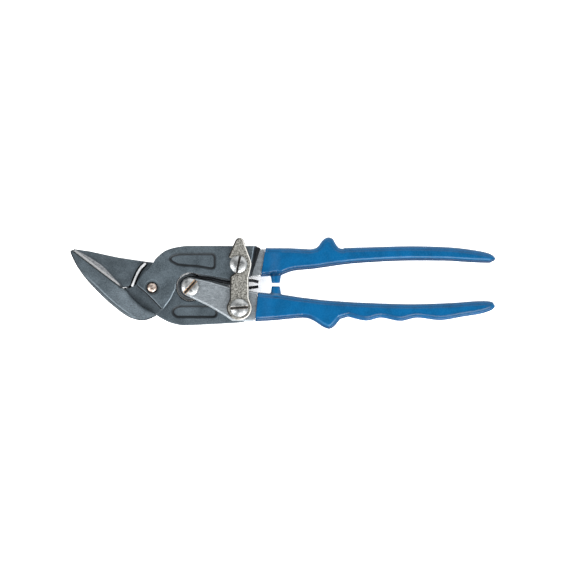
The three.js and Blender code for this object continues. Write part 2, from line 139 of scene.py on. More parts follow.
def roundBlock(centre, reach, low, high, step):
    x, y = centre
    return Block((x - reach, y - reach, low), (x + reach, y + reach, high), step)


def lineDistance(points, x, y):
    best = np.full(np.broadcast(x, y).shape, 1e9)
    for (ax, ay), (bx, by) in zip(points, points[1:]):
        dx, dy = bx - ax, by - ay
        t = np.clip(((x - ax) * dx + (y - ay) * dy) / max(dx * dx + dy * dy, 1e-12), 0, 1)
        best = np.minimum(best, (x - ax - t * dx) ** 2 + (y - ay - t * dy) ** 2)
    return np.sqrt(best)


def outlineDistance(points, x, y):
    closed = [*points, points[0]]
    inside = np.zeros(np.broadcast(x, y).shape, bool)
    for (ax, ay), (bx, by) in zip(closed, closed[1:]):
        if ay != by:
            inside ^= ((ay > y) != (by > y)) & (x < ax + (bx - ax) * (y - ay) / (by - ay))
    return np.where(inside, -1, 1) * lineDistance(closed, x, y)


def circleDistance(centre, radius, x, y):
    return np.hypot(x - centre[0], y - centre[1]) - radius


def between(z, low, high):
    return np.maximum(low - z, z - high)


def rounded(a, b, radius):
    # what both fields hold, with its edge rounded
    a, b = a + radius, b + radius
    return np.minimum(np.maximum(a, b), 0) + np.hypot(np.maximum(a, 0), np.maximum(b, 0)) - radius


def chamfered(a, b, width):
    return np.maximum(np.maximum(a, b), (a + b + width) * diagonal)


def hexagonDistance(flats, x, y):
    sides = np.maximum(np.abs(y), np.maximum(np.abs(0.866 * x + 0.5 * y), np.abs(0.866 * x - 0.5 * y)))
    return sides - flats / 2


def joined(a, b, fillet=0.0):
    if not fillet:
        return np.minimum(a, b)
    share = np.clip(0.5 + 0.5 * (b - a) / fillet, 0, 1)
    return b * (1 - share) + a * share - fillet * share * (1 - share)


def cutBy(a, b, edge=0.0):
    return rounded(a, -b, edge) if edge else np.maximum(a, -b)


def ramp(value, low, high):
    t = np.clip((value - low) / (high - low), 0, 1)
    return t * t * (3 - 2 * t)


def overEdge(distance, radius):
    # how far a rounded edge has dropped, at a distance in from its outline
    inset = np.clip(radius - distance, 0, radius)
    return radius - np.sqrt(np.maximum(radius**2 - inset**2, 0))


def skinOf(block, field):
    # one vertex in each cell that the surface crosses, and one quad round each edge that it crosses
    shape = field.shape
    quads, owners, spots = [], [], []
    for axis in range(3):
        a = field.take(range(shape[axis] - 1), axis)
        b = field.take(range(1, shape[axis]), axis)
        at = np.stack(np.nonzero((a < 0) != (b < 0)), 1)
        near, far = a[tuple(at.T)], b[tuple(at.T)]
        spot = at.astype(float)
        spot[:, axis] += near / (near - far)
        around = []
        for du, dv in ((-1, -1), (0, -1), (0, 0), (-1, 0)):
            cell = at.copy()
            cell[:, (axis + 1) % 3] += du
            cell[:, (axis + 2) % 3] += dv
            around.append(np.ravel_multi_index(tuple(cell.T), shape))
            owners.append(around[-1])
            spots.append(spot)
        around = np.stack(around, 1)
        quads.append(np.where((near < 0)[:, None], around, around[:, ::-1]))
    used, index = np.unique(np.concatenate(owners), return_inverse=True)
    spots = np.concatenate(spots)
    count = np.bincount(index)
    places = np.stack([np.bincount(index, spots[:, k]) / count for k in range(3)], 1)
    low = np.array([line[0] for line in block.axes])
    return low + places * block.step, np.searchsorted(used, np.concatenate(quads))


def linked(name, data):
    thing = bpy.data.objects.new(name, data)
    bpy.context.scene.collection.objects.link(thing)
    return thing


def meshOf(name, verts, quads, marks):
    mesh = bpy.data.meshes.new(name)
    mesh.vertices.add(len(verts))
    placed = (verts + np.array([origin[0], origin[1], 0])) * millimetre
    moved = np.clip(placed, *(np.array(v) for v in cadBox))
    mesh.vertices.foreach_set("co", moved.astype(np.float32).ravel())
    mesh.loops.add(len(quads) * 4)
    mesh.loops.foreach_set("vertex_index", quads.astype(np.int32).ravel())
    mesh.polygons.add(len(quads))
    mesh.polygons.foreach_set("loop_start", np.arange(0, len(quads) * 4, 4, dtype=np.int32))
    mesh.update(calc_edges=True)
    mesh.polygons.foreach_set("use_smooth", np.ones(len(quads), bool))
    for mark, values in marks.items():
        layer = mesh.attributes.new(mark, "FLOAT", "POINT")
        layer.data.foreach_set("value", np.asarray(values, np.float32))
    mesh.update()
    return linked(name, mesh)


class Ties:
    # which vertices are joined by an edge
    def __init__(self, quads):
        pairs = np.concatenate([quads[:, [i, (i + 1) % 4]] for i in range(4)])
        self.pairs = np.concatenate([pairs, pairs[:, ::-1]])
        self.count = np.bincount(self.pairs[:, 0])

    def mean(self, verts):
        return np.stack([
            np.bincount(self.pairs[:, 0], verts[self.pairs[:, 1], k]) / self.count for k in range(3)
        ], 1)


def relaxed(verts, ties, passes):
    # evens out the ripples that the grid leaves, without shrinking the shape
    for share in (0.5, -0.52) * passes:
        verts = verts + share * (ties.mean(verts) - verts)
    return verts


def edgeMarks(verts, quads, ties):
    # how far each vertex stands out from its neighbours: above 0 on corners, below 0 in hollows
    across = np.cross(verts[quads[:, 2]] - verts[quads[:, 0]], verts[quads[:, 3]] - verts[quads[:, 1]])
    normal = np.stack([
        np.bincount(quads.ravel(), np.repeat(across[:, k], 4), len(verts)) for k in range(3)
    ], 1)
    normal /= np.maximum(np.linalg.norm(normal, axis=1), 1e-12)[:, None]
    smooth = ties.mean(ties.mean(verts))
    return ((verts - smooth) * normal).sum(1)


def piece(name, block, field, body, finish, replaced, marks=None, passes=3):
    verts, quads = skinOf(block, field)
    ties = Ties(quads)
    found = {"edge": edgeMarks(verts, quads, ties) / block.step}
    verts = relaxed(verts, ties, passes)
    for mark, rule in (marks or {}).items():
        found[mark] = rule(verts[:, 0], verts[:, 1], verts[:, 2])
    thing = meshOf(name, verts, quads, found)
    thing.data.materials.append(finishes[finish])
    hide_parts(*replaced)
    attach(thing, body)
    print(name, len(quads), "quads")
    return thing


# Materials

class Signal:
    # one value in a shader, so that shader maths reads as plain expressions
    def __init__(self, paint, socket):
        self.paint = paint
        self.socket = socket

    def maths(self, operation, first, second):
        return self.paint.node("ShaderNodeMath", {"operation": operation}, {0: first, 1: second})

    def __add__(self, other):
        return self.maths("ADD", self, other)

    __radd__ = __add__

    def __sub__(self, other):
        return self.maths("SUBTRACT", self, other)

    def __rsub__(self, other):
        return self.maths("SUBTRACT", other, self)

    def __mul__(self, other):
        return self.maths("MULTIPLY", self, other)

    __rmul__ = __mul__


class Paint:
    # one material while its nodes are laid out
    def __init__(self, name, settings):
        self.material = bpy.data.materials.new(name)
        self.material.use_nodes = True
        self.tree = self.material.node_tree
        self.shader = self.tree.nodes["Principled BSDF"]
        for socket, value in settings.items():
            self.shader.inputs[socket].default_value = value
        place = self.node("ShaderNodeTexCoord", {}, {}, "Object")
        self.place = self.node("ShaderNodeVectorMath", {"operation": "SCALE"}, {
            0: place, "Scale": 1 / millimetre,
        })

    def node(self, kind, settings, inputs, output=0):
        made = self.tree.nodes.new(kind)
        for key, value in settings.items():
            setattr(made, key, value)
        for key, value in inputs.items():
            if isinstance(value, Signal):
                self.tree.links.new(value.socket, made.inputs[key])
            else:
                made.inputs[key].default_value = value
        return Signal(self, made.outputs[output])

    def noise(self, scale, detail=3.0, stretch=None, distortion=0.0):
        place = self.place
        if stretch:
            place = self.node("ShaderNodeMapping", {}, {"Vector": place, "Scale": stretch})
        return self.node("ShaderNodeTexNoise", {}, {
            "Vector": place, "Scale": scale, "Detail": detail, "Distortion": distortion,
        })

    def mark(self, name):
        return self.node("ShaderNodeAttribute", {"attribute_name": name}, {}, "Fac")

    def fit(self, value, low, high, first=0.0, last=1.0):
        return self.node("ShaderNodeMapRange", {"clamp": True}, {
            "Value": value, "From Min": low, "From Max": high, "To Min": first, "To Max": last,
        })

    def blend(self, factor, a, b):
        return self.node("ShaderNodeMix", {"data_type": "RGBA"}, {0: factor, 6: a, 7: b}, 2)

    def bump(self, height, strength, distance, normal=None):
        inputs = {"Height": height, "Strength": strength, "Distance": distance * millimetre}
        if normal:
            inputs["Normal"] = normal
        return self.node("ShaderNodeBump", {}, inputs, "Normal")

    def feed(self, **signals):
        names = {
            "colour": "Base Color", "roughness": "Roughness", "metallic": "Metallic", "normal": "Normal",
            "glow": "Emission Color",
        }
        for key, signal in signals.items():
            self.tree.links.new(signal.socket, self.shader.inputs[names[key]])
        return self.material


def shade(red, green, blue):
    # a colour as seen on a screen, 0 to 255, turned into light
    return (*(((v / 255 + 0.055) / 1.055) ** 2.4 for v in (red, green, blue)), 1.0)


# the darkest colour is painted shade, the near white one a painted reflection on ground steel, the pale one
# both wear and painted highlight
forgingLook = {
    "dark": shade(50, 60, 66), "light": shade(98, 110, 118), "wear_and_highlight": shade(168, 182, 192),
    "hollow": shade(20, 23, 26), "ground": shade(214, 217, 220), "groundDark": shade(146, 150, 156),
    "shine": shade(252, 253, 254),
    "grain": 1.5, "rim": 0.5,
}


def forgingFinish():
    # blackened drop forging: fine grained grey, bright where it is ground; painted shade in hollows, along
    # rims and where marked, painted highlights and reflections where marked
    look = forgingLook
    paint = Paint("forging", {"Specular IOR Level": 0.4})
    grain = paint.noise(look["grain"], 4.0)
    cloud = paint.noise(0.11, 3.0)
    speck = paint.noise(3.6, 2.0)
    tone = paint.fit(grain * 0.6 + cloud * 0.55 + speck * 0.25, 0.5, 0.9)
    body = paint.blend(tone, look["dark"], look["light"])
    edge = paint.mark("edge")
    shade_and_highlight = paint.mark("shade_and_highlight")
    # painted shade: concave hollows go dark
    body = paint.blend(paint.fit(edge, -0.02, -0.14), body, look["hollow"])
    # painted shade where the mark is above 0
    body = paint.blend(paint.fit(shade_and_highlight, 0.0, 1.0), body, look["hollow"])
    # painted shade along convex rims, weighted by the look's rim value, except where the painted highlights
    # lie
    darkened_rim = paint.fit(edge + grain * 0.08, 0.12, 0.3) * look["rim"] * (1.0 - paint.fit(shade_and_highlight, 0.0, -0.5))
    body = paint.blend(darkened_rim, body, look["hollow"])
    # painted highlight in a lighter colour where the mark is below 0
    body = paint.blend(paint.fit(shade_and_highlight, 0.0, -1.0) * paint.fit(grain, 0.34, 0.6, 0.5, 1.0), body, look["wear_and_highlight"])
    ground = paint.mark("ground")
    scratch = paint.noise(2.2, 4.0, (0.35, 0.9, 1.0), 0.4)
    steel = paint.blend(paint.fit(scratch, 0.36, 0.66), look["groundDark"], look["ground"])
    # painted reflection: ground steel goes nearly white and less metallic where the mark is below 0
    shine = paint.fit(shade_and_highlight, 0.0, -1.0)
    steel = paint.blend(shine, steel, look["shine"])
    return paint.feed(
        colour=paint.blend(ground, body, steel),
        metallic=0.5 + ground * 0.4 - ground * shine * 0.75,
        roughness=paint.fit(grain, 0.3, 0.7, 0.42, 0.58) - ground * 0.14,
        normal=paint.bump(grain * (1.0 - ground * 0.8), 0.55, 0.18, paint.bump(speck, 0.35, 0.08)),
    )


steelLook = {"dark": shade(118, 126, 132), "light": shade(176, 184, 190), "wear_and_highlight": shade(205, 208, 210)}


def barFinish():
    # blanked steel bar, satin, with a fine grain along the handle
    look = steelLook
    paint = Paint("bar_steel", {})
    grain = paint.noise(1.9, 4.0)
    drawn = paint.noise(1.1, 4.0, (0.35, 2.4, 1.0))
    tone = paint.fit(grain * 0.6 + drawn * 0.5, 0.38, 0.72)
    body = paint.blend(tone, look["dark"], look["light"])
    edge = paint.mark("edge")
    # painted shade: concave hollows go dark
    body = paint.blend(paint.fit(edge, -0.02, -0.16), body, shade(48, 48, 50))
    # convex edges lighter: wear and painted highlight
    return paint.feed(
        colour=paint.blend(paint.fit(edge, 0.1, 0.3), body, look["wear_and_highlight"]),
        metallic=paint.fit(grain, 0.2, 0.8, 0.72, 0.85),
        roughness=paint.fit(drawn, 0.3, 0.7, 0.34, 0.5),
        normal=paint.bump(grain, 0.4, 0.12, paint.bump(drawn, 0.3, 0.08)),
    )


# the light and grey-blue colours are painted highlight and sheen, the darkest one painted shade
coatLook = {
    "deep": shade(0, 76, 120), "body": shade(0, 88, 138), "lift": shade(60, 132, 176),
    "dark": shade(0, 40, 72), "sheen_speckle": shade(88, 112, 132),
}


def coatFinish():
    # dipped vinyl: glossy, with slow ripples and a faint orange peel
    look = coatLook
    paint = Paint("handle_coat", {"Coat Weight": 0.25, "Coat Roughness": 0.06, "Specular IOR Level": 0.1})
    ripple = paint.noise(0.16, 2.0)
    peel = paint.noise(1.1, 2.0)
    sheen_speckle = paint.noise(4.5, 3.0)
    body = paint.blend(paint.fit(ripple * 0.75 + peel * 0.25, 0.3, 0.6), look["deep"], look["body"])
    edge = paint.mark("edge")
    painted_crease_light = paint.mark("painted_crease_light")
    # painted shade: concave hollows go dark
    body = paint.blend(paint.fit(edge, -0.02, -0.16), body, look["dark"])
    # painted shade along the edges that face down in the plan
    body = paint.blend(paint.fit(painted_crease_light, 0.0, 1.0), body, look["dark"])
    # painted highlight along the shoulder line, speckled
    body = paint.blend(paint.fit(painted_crease_light, 0.0, -1.0) * paint.fit(sheen_speckle, 0.3, 0.6, 0.6, 1.0), body, look["lift"])
    # painted grey sheen along the edges that face up in the plan
    body = paint.blend(paint.mark("sheen_speckle") * paint.fit(sheen_speckle, 0.35, 0.6, 0.5, 1.0), body, look["sheen_speckle"])
    return paint.feed(
        colour=body,
        roughness=paint.fit(peel * 0.6 + sheen_speckle * 0.4, 0.3, 0.7, 0.2, 0.34),
        normal=paint.bump(ripple, 0.35, 1.0, paint.bump(peel, 0.16, 0.14)),
    )


# the near white colour is a painted highlight; the darkest serves both the pits and painted shade
latchLook = {
    "dark": shade(72, 70, 66), "light": shade(178, 177, 170), "wear_and_highlight": shade(240, 238, 232),
    "pit_and_shade": shade(44, 42, 39),
}


def latchFinish():
    # tumbled plate, coarse warm grey grain with dark pits
    look = latchLook
    paint = Paint("latch_plate", {})
    coarse = paint.noise(0.95, 3.0)
    fine = paint.noise(2.6, 3.0)
    tone = paint.fit(coarse * 0.6 + fine * 0.5, 0.42, 0.66)
    body = paint.blend(tone, look["dark"], look["light"])
    body = paint.blend(paint.fit(fine, 0.42, 0.32), body, look["pit_and_shade"])
    edge = paint.mark("edge")
    rim = paint.mark("rim")
    # painted shade: concave hollows go dark
    body = paint.blend(paint.fit(edge, -0.02, -0.16), body, look["pit_and_shade"])
    # painted shade along the left-facing border of the top
    body = paint.blend(paint.fit(rim, -0.1, -0.6), body, look["pit_and_shade"])
    # painted highlight along the right-facing border of the top
    return paint.feed(
        colour=paint.blend(paint.fit(rim, 0.1, 0.8), body, look["wear_and_highlight"]),
        metallic=paint.fit(fine, 0.3, 0.7, 0.55, 0.75),
        roughness=paint.fit(coarse, 0.3, 0.7, 0.34, 0.54),
        normal=paint.bump(coarse, 0.8, 0.35, paint.bump(fine, 0.5, 0.14)),
    )


zincLook = {
    "dark": shade(112, 116, 118), "light": shade(190, 192, 192), "slot": shade(30, 26, 23),
    "brown": shade(176, 140, 100),
}


def zincFinish():
    # zinc plated screws and nuts, turned, with a little brown in their slots
    look = zincLook
    paint = Paint("hardware", {})
    cloud = paint.noise(0.45, 3.0)
    fine = paint.noise(2.4, 3.0)
    body = paint.blend(paint.fit(cloud * 0.6 + fine * 0.4, 0.36, 0.64), look["dark"], look["light"])
    edge = paint.mark("edge")
    # painted shade: concave hollows go dark
    body = paint.blend(paint.fit(edge, -0.04, -0.2), body, look["slot"])
    slot = paint.mark("slot")
    # painted shade on the slot's floor
    body = paint.blend(paint.fit(slot, 0.0, 1.0), body, look["slot"])
    body = paint.blend(paint.fit(slot, 0.0, -1.0), body, look["brown"])
    return paint.feed(
        colour=body,
        metallic=paint.fit(fine, 0.2, 0.8, 0.88, 0.98) - paint.fit(slot, 0.2, 0.8) * 0.6,
        roughness=paint.fit(cloud, 0.3, 0.7, 0.2, 0.36),
        normal=paint.bump(fine, 0.25, 0.08, paint.bump(cloud, 0.3, 0.4)),
    )


copperLook = {"dark": shade(118, 98, 86), "light": shade(222, 208, 198), "steel": shade(150, 152, 154)}


def boltFinish():
    # riveted bolt end, pink copper colour, hammered; its hexagon underneath is grey
    look = copperLook
    paint = Paint("pivot_bolt", {})
    dent = paint.noise(0.75, 2.0)
    fine = paint.noise(2.6, 3.0)
    copper = paint.blend(paint.fit(dent * 0.6 + fine * 0.4, 0.36, 0.64), look["dark"], look["light"])
    steel = paint.blend(paint.fit(fine, 0.35, 0.65), shade(104, 108, 112), look["steel"])
    return paint.feed(
        colour=paint.blend(paint.mark("ground"), steel, copper),
        metallic=paint.fit(fine, 0.2, 0.8, 0.85, 0.95),
        roughness=paint.fit(dent, 0.3, 0.7, 0.24, 0.4),
        normal=paint.bump(dent, 0.6, 0.5, paint.bump(fine, 0.3, 0.08)),
    )


def wireFinish():
    # blued spring wire
    paint = Paint("spring_wire", {})
    drawn = paint.noise(1.6, 3.0)
    body = paint.blend(paint.fit(drawn, 0.3, 0.7), shade(22, 23, 26), shade(52, 54, 58))
    return paint.feed(
        colour=body,
        metallic=paint.fit(drawn, 0.2, 0.8, 0.6, 0.8),
        roughness=paint.fit(drawn, 0.3, 0.7, 0.28, 0.42),
        normal=paint.bump(drawn, 0.3, 0.1),
    )


finishes = {
    "forging": forgingFinish(),
    "bar_steel": barFinish(),
    "handle_coat": coatFinish(),
    "latch_plate": latchFinish(),
    "hardware": zincFinish(),
    "pivot_bolt": boltFinish(),
    "spring_wire": wireFinish(),
}
print("finishes made")


# Shared places

nearFloor, bladeTop = heights("lower_blade_lever")
farFloor, raisedTop = heights("upper_blade_lever")
armThickness = 5.8
nearTop = nearFloor + armThickness
farTop = farFloor + armThickness
middle = (nearFloor + farTop) / 2
barThickness = 4.4
screwBore = 3.3
openPivotBore = 3.55

heel = (-19.2, 0.4)
edgeAngle = 142.6
edgeLength = 36.3


def besideEdge(along, across):
    # along the cutting edge from its heel, and across it into the lower blade
    return polar(polar(heel, along, edgeAngle), across, edgeAngle + 90)


def edgeSpots(*spots):
    return [besideEdge(along, across) for along, across in spots]


def acrossEdge(x, y):
    turn = math.radians(edgeAngle + 90)
    return (x - heel[0]) * math.cos(turn) + (y - heel[1]) * math.sin(turn)


def alongEdge(x, y):
    turn = math.radians(edgeAngle)
    return (x - heel[0]) * math.cos(turn) + (y - heel[1]) * math.sin(turn)


# Return spring

spring = {"wire": 0.95, "coil": 5.85, "rise": 1.575}
waist = 0.386 * (upperPivot[0] - handlePivot[0])
nearLeg = [
    *offsets(upperPivot, (12.2, -10.8), (6.4, -9.8), (-6.4, -11.0)),
    offset(handlePivot, waist, 5.1), polar(handlePivot, spring["coil"], 90),
]
farLeg = [
    polar(handlePivot, spring["coil"], 270), offset(handlePivot, waist, -4.8),
    *offsets(lowerPivot, (-6.9, 10.7), (5.9, 12.0), (11.6, 12.8)),
]


def legRoom(block, side):
    leg, level = (nearLeg, middle + spring["rise"]) if side > 0 else (farLeg, middle - spring["rise"])
    beside = lineDistance(curve(leg), block.x, block.y)
    return np.hypot(beside, block.z - level) - spring["wire"] - 0.3


def makeSpring():
    coil = [
        (*polar(handlePivot, spring["coil"], 90 + 15 * i), middle + spring["rise"] * (1 - i / 18))
        for i in range(37)
    ]
    near = [(x, y, middle + spring["rise"]) for x, y in curve(nearLeg)[:-1]]
    far = [(x, y, middle - spring["rise"]) for x, y in curve(farLeg)[1:]]
    line = bpy.data.curves.new("return_spring_line", "CURVE")
    line.dimensions = "3D"
    line.bevel_depth = spring["wire"] * millimetre
    line.bevel_resolution = 4
    line.use_fill_caps = True
    run = line.splines.new("POLY")
    path = near + coil + far
    run.points.add(len(path) - 1)
    for point, (x, y, z) in zip(run.points, path):
        point.co = ((x + origin[0]) * millimetre, (y + origin[1]) * millimetre, z * millimetre, 1)
    holder = linked("return_spring_line", line)
    bpy.context.view_layer.update()
    mesh = bpy.data.meshes.new_from_object(holder.evaluated_get(bpy.context.evaluated_depsgraph_get()))
    bpy.data.objects.remove(holder)
    mesh.materials.clear()
    mesh.materials.append(finishes["spring_wire"])
    mesh.polygons.foreach_set("use_smooth", np.ones(len(mesh.polygons), bool))
    wire = linked("return_spring_wire", mesh)
    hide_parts("return_spring")
    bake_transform(wire)
    print("return_spring_wire", len(mesh.polygons), "faces")


def recessRing(outline, top, px, py, pz):
    # band along the wall of a recess and the edge of its floor, where painted shade goes
    wall = -outlineDistance(outline, px, py)
    return ramp(wall, -0.3, 0.2) * ramp(-wall, -1.7, -1.0) * ramp(pz, top - 1.2, top - 0.9)


# Lower blade with the upper arm

lowerForging = {
    "step": 0.37, "edge": 0.55, "web": 2.4, "bladeThickness": 4.6, "edgeDrop": 1.9, "bevel": 2.0,
    "bevelDrop": 1.7, "panelDepth": 0.8, "panelSlope": 1.3, "endLength": 19.3, "endSlope": 2.6,
    "washerBore": 4.3, "bore": 3.4,
}


def makeLowerForging():
    size = lowerForging
    block = Block((-51, -21, nearFloor), (67.5, 26, bladeTop), size["step"])
    x, y, z = block.x, block.y, block.z
    cheek = [
        (-9.6, 3.0), (-9.0, 1.3), (-3.9, -2.7), (1.6, -8.2), (6.5, -13.6), (11.4, -7.0),
        *arc(handlePivot, 8.8, 186, 92),
        *offsets(upperPivot, (-6.5, -8.9), (8.2, -7.1), (13.7, 10.1), (10.7, 11.3)),
        *curve([(20.6, 25.5), (13.2, 24.3), (7.4, 22.1), (2.2, 17.7)]),
        *curve([(0.3, 14.5), (-2.5, 11.0), (-5.2, 9.0)], 3),
    ]
    back = curve(edgeSpots(
        (-28.2, 0.6), (-25.1, 6.2), (-20.5, 9.8), (-12.8, 11.9), (1.1, 11.7), (0.46 * edgeLength, 9.6),
        (0.78 * edgeLength, 6.3), (edgeLength, 2.4), (edgeLength + 1.6, 0.9),
    ))
    rim = curve([(-19.2, 0.4), (-16.2, -1.5), (-12.5, -5.8), (-8.8, -9.4), (-3.9, -13.1), (0.4, -14.9)])
    blade = [besideEdge(edgeLength + 0.7, 0), *rim, *back]
    web = [
        (-9.3, 2.4), (-12.4, 0.9), (-14.6, -0.45), (-16.4, -0.15), (-18.2, -0.6),
        *edgeSpots((-1.5, 2.4), (-6, 9), (-20.5, 9)), (3.1, -16.3), (6.3, -13.4), (3, -5),
    ]
    panel = [
        *curve([(15.5, 13.2), (11.6, 15.3), (10.2, 17.6), (12.2, 20.0), (16.6, 21.2)], 5),
        *arc((36.2, 18.3), 3.0, 90, 0, 6),
        *curve([(39.2, 13.6), (38.6, 11.7), (36.8, 10.8), (33.5, 11.2)], 4), (27.0, 12.3), (20.4, 12.6),
    ]
    endTop, endFoot = offsets(upperPivot, (9.3, 10.4), (6.0, -8.5))

    def pastEnd(px, py):
        # the end of the arm falls away behind this line
        return ((px - endFoot[0]) * (endTop[1] - endFoot[1])
                - (py - endFoot[1]) * (endTop[0] - endFoot[0])) / size["endLength"]

    def bevelWidth(far):
        return size["bevel"] * ramp(-far, -edgeLength - 2, -8) * ramp(far, -23, -15) + 0.05

    cheekFlat = outlineDistance(cheek, x, y)
    panelFlat = outlineDistance(panel, x, y)
    armRoof = nearTop - size["panelDepth"] * ramp(-panelFlat, 0, size["panelSlope"])
    armRoof = armRoof - size["endSlope"] * np.clip(pastEnd(x, y), 0, 2)
    arm = rounded(cheekFlat, np.maximum(nearFloor - z, (z - armRoof) * 0.9), size["edge"])
    floor = rounded(outlineDistance(web, x, y), between(z, nearFloor, nearFloor + size["web"]), 0.3)
    inward, along = acrossEdge(x, y), alongEdge(x, y)
    fromBack = lineDistance(back, x, y)
    fromRim = lineDistance(rim, x, y)
    bevel = bevelWidth(along)
    top = bladeTop - size["edgeDrop"] * (1 - ramp(inward, -1, 10))
    top = top - size["bevelDrop"] * np.clip(1 - fromBack / bevel, 0, 1) * bevel / size["bevel"]
    top = top - overEdge(fromRim * 0.7, 2.6)
    bladeFlat = outlineDistance(blade, x, y)
    slab = np.maximum(rounded(bladeFlat, (z - top) * 0.9, 0.3), bladeTop - size["bladeThickness"] - z)
    root = np.maximum(bladeFlat, np.maximum(3.2 - inward, along - 0.55 * edgeLength))
    keel = rounded(root, between(z, nearFloor, bladeTop - 2.4), 0.4)
    body = joined(joined(arm, floor, 0.9), joined(slab, keel), 1.6)

    away = circleDistance(mainPivot, 0, x, y)
    bore = joined(away - size["bore"], np.maximum(away - size["washerBore"], z - (nearFloor + 2.9)))
    bore = joined(bore, (away - 4.65 + (nearTop - z) * 0.8) * 0.78)
    body = cutBy(body, bore, 0.15)
    body = cutBy(body, circleDistance(upperPivot, screwBore, x, y), 0.2)
    body = cutBy(body, legRoom(block, 1))

    def shade_and_highlight(px, py, pz):
        # painted shade in corners, beside the bevel's crease, along the cutting edge and the blade's border
        # and on the end of the arm, and painted highlight along the bevel's crease
        far, beside = alongEdge(px, py), acrossEdge(px, py)
        fromCheek, fromOuter = outlineDistance(cheek, px, py), lineDistance(back, px, py)
        width = bevelWidth(far)
        stretch = ramp(far, -17, -11) * ramp(-far, -24, -12)
        onBlade = ramp(pz, nearTop - 1.0, nearTop - 0.4) * ramp(fromCheek, 0.2, 0.6)
        crease = np.exp(-((fromOuter - width - 0.25) / 0.32) ** 2) * stretch
        under = np.exp(-((fromOuter - width + 0.6) / 0.35) ** 2) * stretch
        cutting = ramp(-np.abs(beside - 0.1), -0.85, -0.3) * ramp(far, -2, 2)
        valley = ramp(-pz, -(nearFloor + 4.2), -(nearFloor + 2.6)) * ramp(fromCheek, -0.2, 0.3)
        end = pastEnd(px, py)
        ring = recessRing(panel, nearTop, px, py, pz)
        border = ramp(-fromOuter, -0.9, -0.4) * onBlade
        # painted highlights on the near edge of the cheek and of the hook, and on the blade beside the valley
        onCheek = ramp(fromCheek, -0.75, -0.35) * ramp(-fromCheek, -0.3, 0.0)
        onCheek = onCheek * ramp(pz, nearTop - 0.9, nearTop - 0.3)
        shoulder = onCheek * ramp(px, 6.2, 8.0) * ramp(-px, -17.5, -15.5) * ramp(-py, -4.0, 0.0)
        foot = onCheek * ramp(-px, -6.5, -5.0) * ramp(-py, -3.0, 1.0)
        hip = np.exp(-((lineDistance(rim, px, py) - 1.6) / 1.1) ** 2)
        hip = hip * ramp(-py, 8.5, 10.5) * ramp(py, -14.5, -12)
        endLine = np.exp(-(end / 0.28) ** 2) * ramp(pz, nearTop - 0.8, nearTop - 0.3) * ramp(py, 4, 9)
        dark = np.maximum.reduce([
            0.85 * under * onBlade, 0.9 * cutting * onBlade, 0.2 * valley, 0.95 * ramp(end, 0.2, 0.8),
            0.75 * ring, 0.7 * border,
        ])
        light = np.maximum.reduce([
            0.6 * crease * onBlade, 0.8 * shoulder, 0.3 * foot, 0.34 * hip * onBlade, 0.7 * endLine,
        ])
        # painted highlight also makes the blade lighter towards the pivot
        return dark * (light < 0.25) - np.maximum(light, 0.22 * onBlade * ramp(px, -34, -14))

    piece("lower_blade_forging", block, body, "lower_blade", "forging", ["lower_blade_lever"], {"shade_and_highlight": shade_and_highlight})


# Upper blade with the lower arm

upperForging = {"step": 0.37, "edge": 0.6, "slope": 0.24, "bladeThickness": 6.8, "pocketDepth": 0.8}


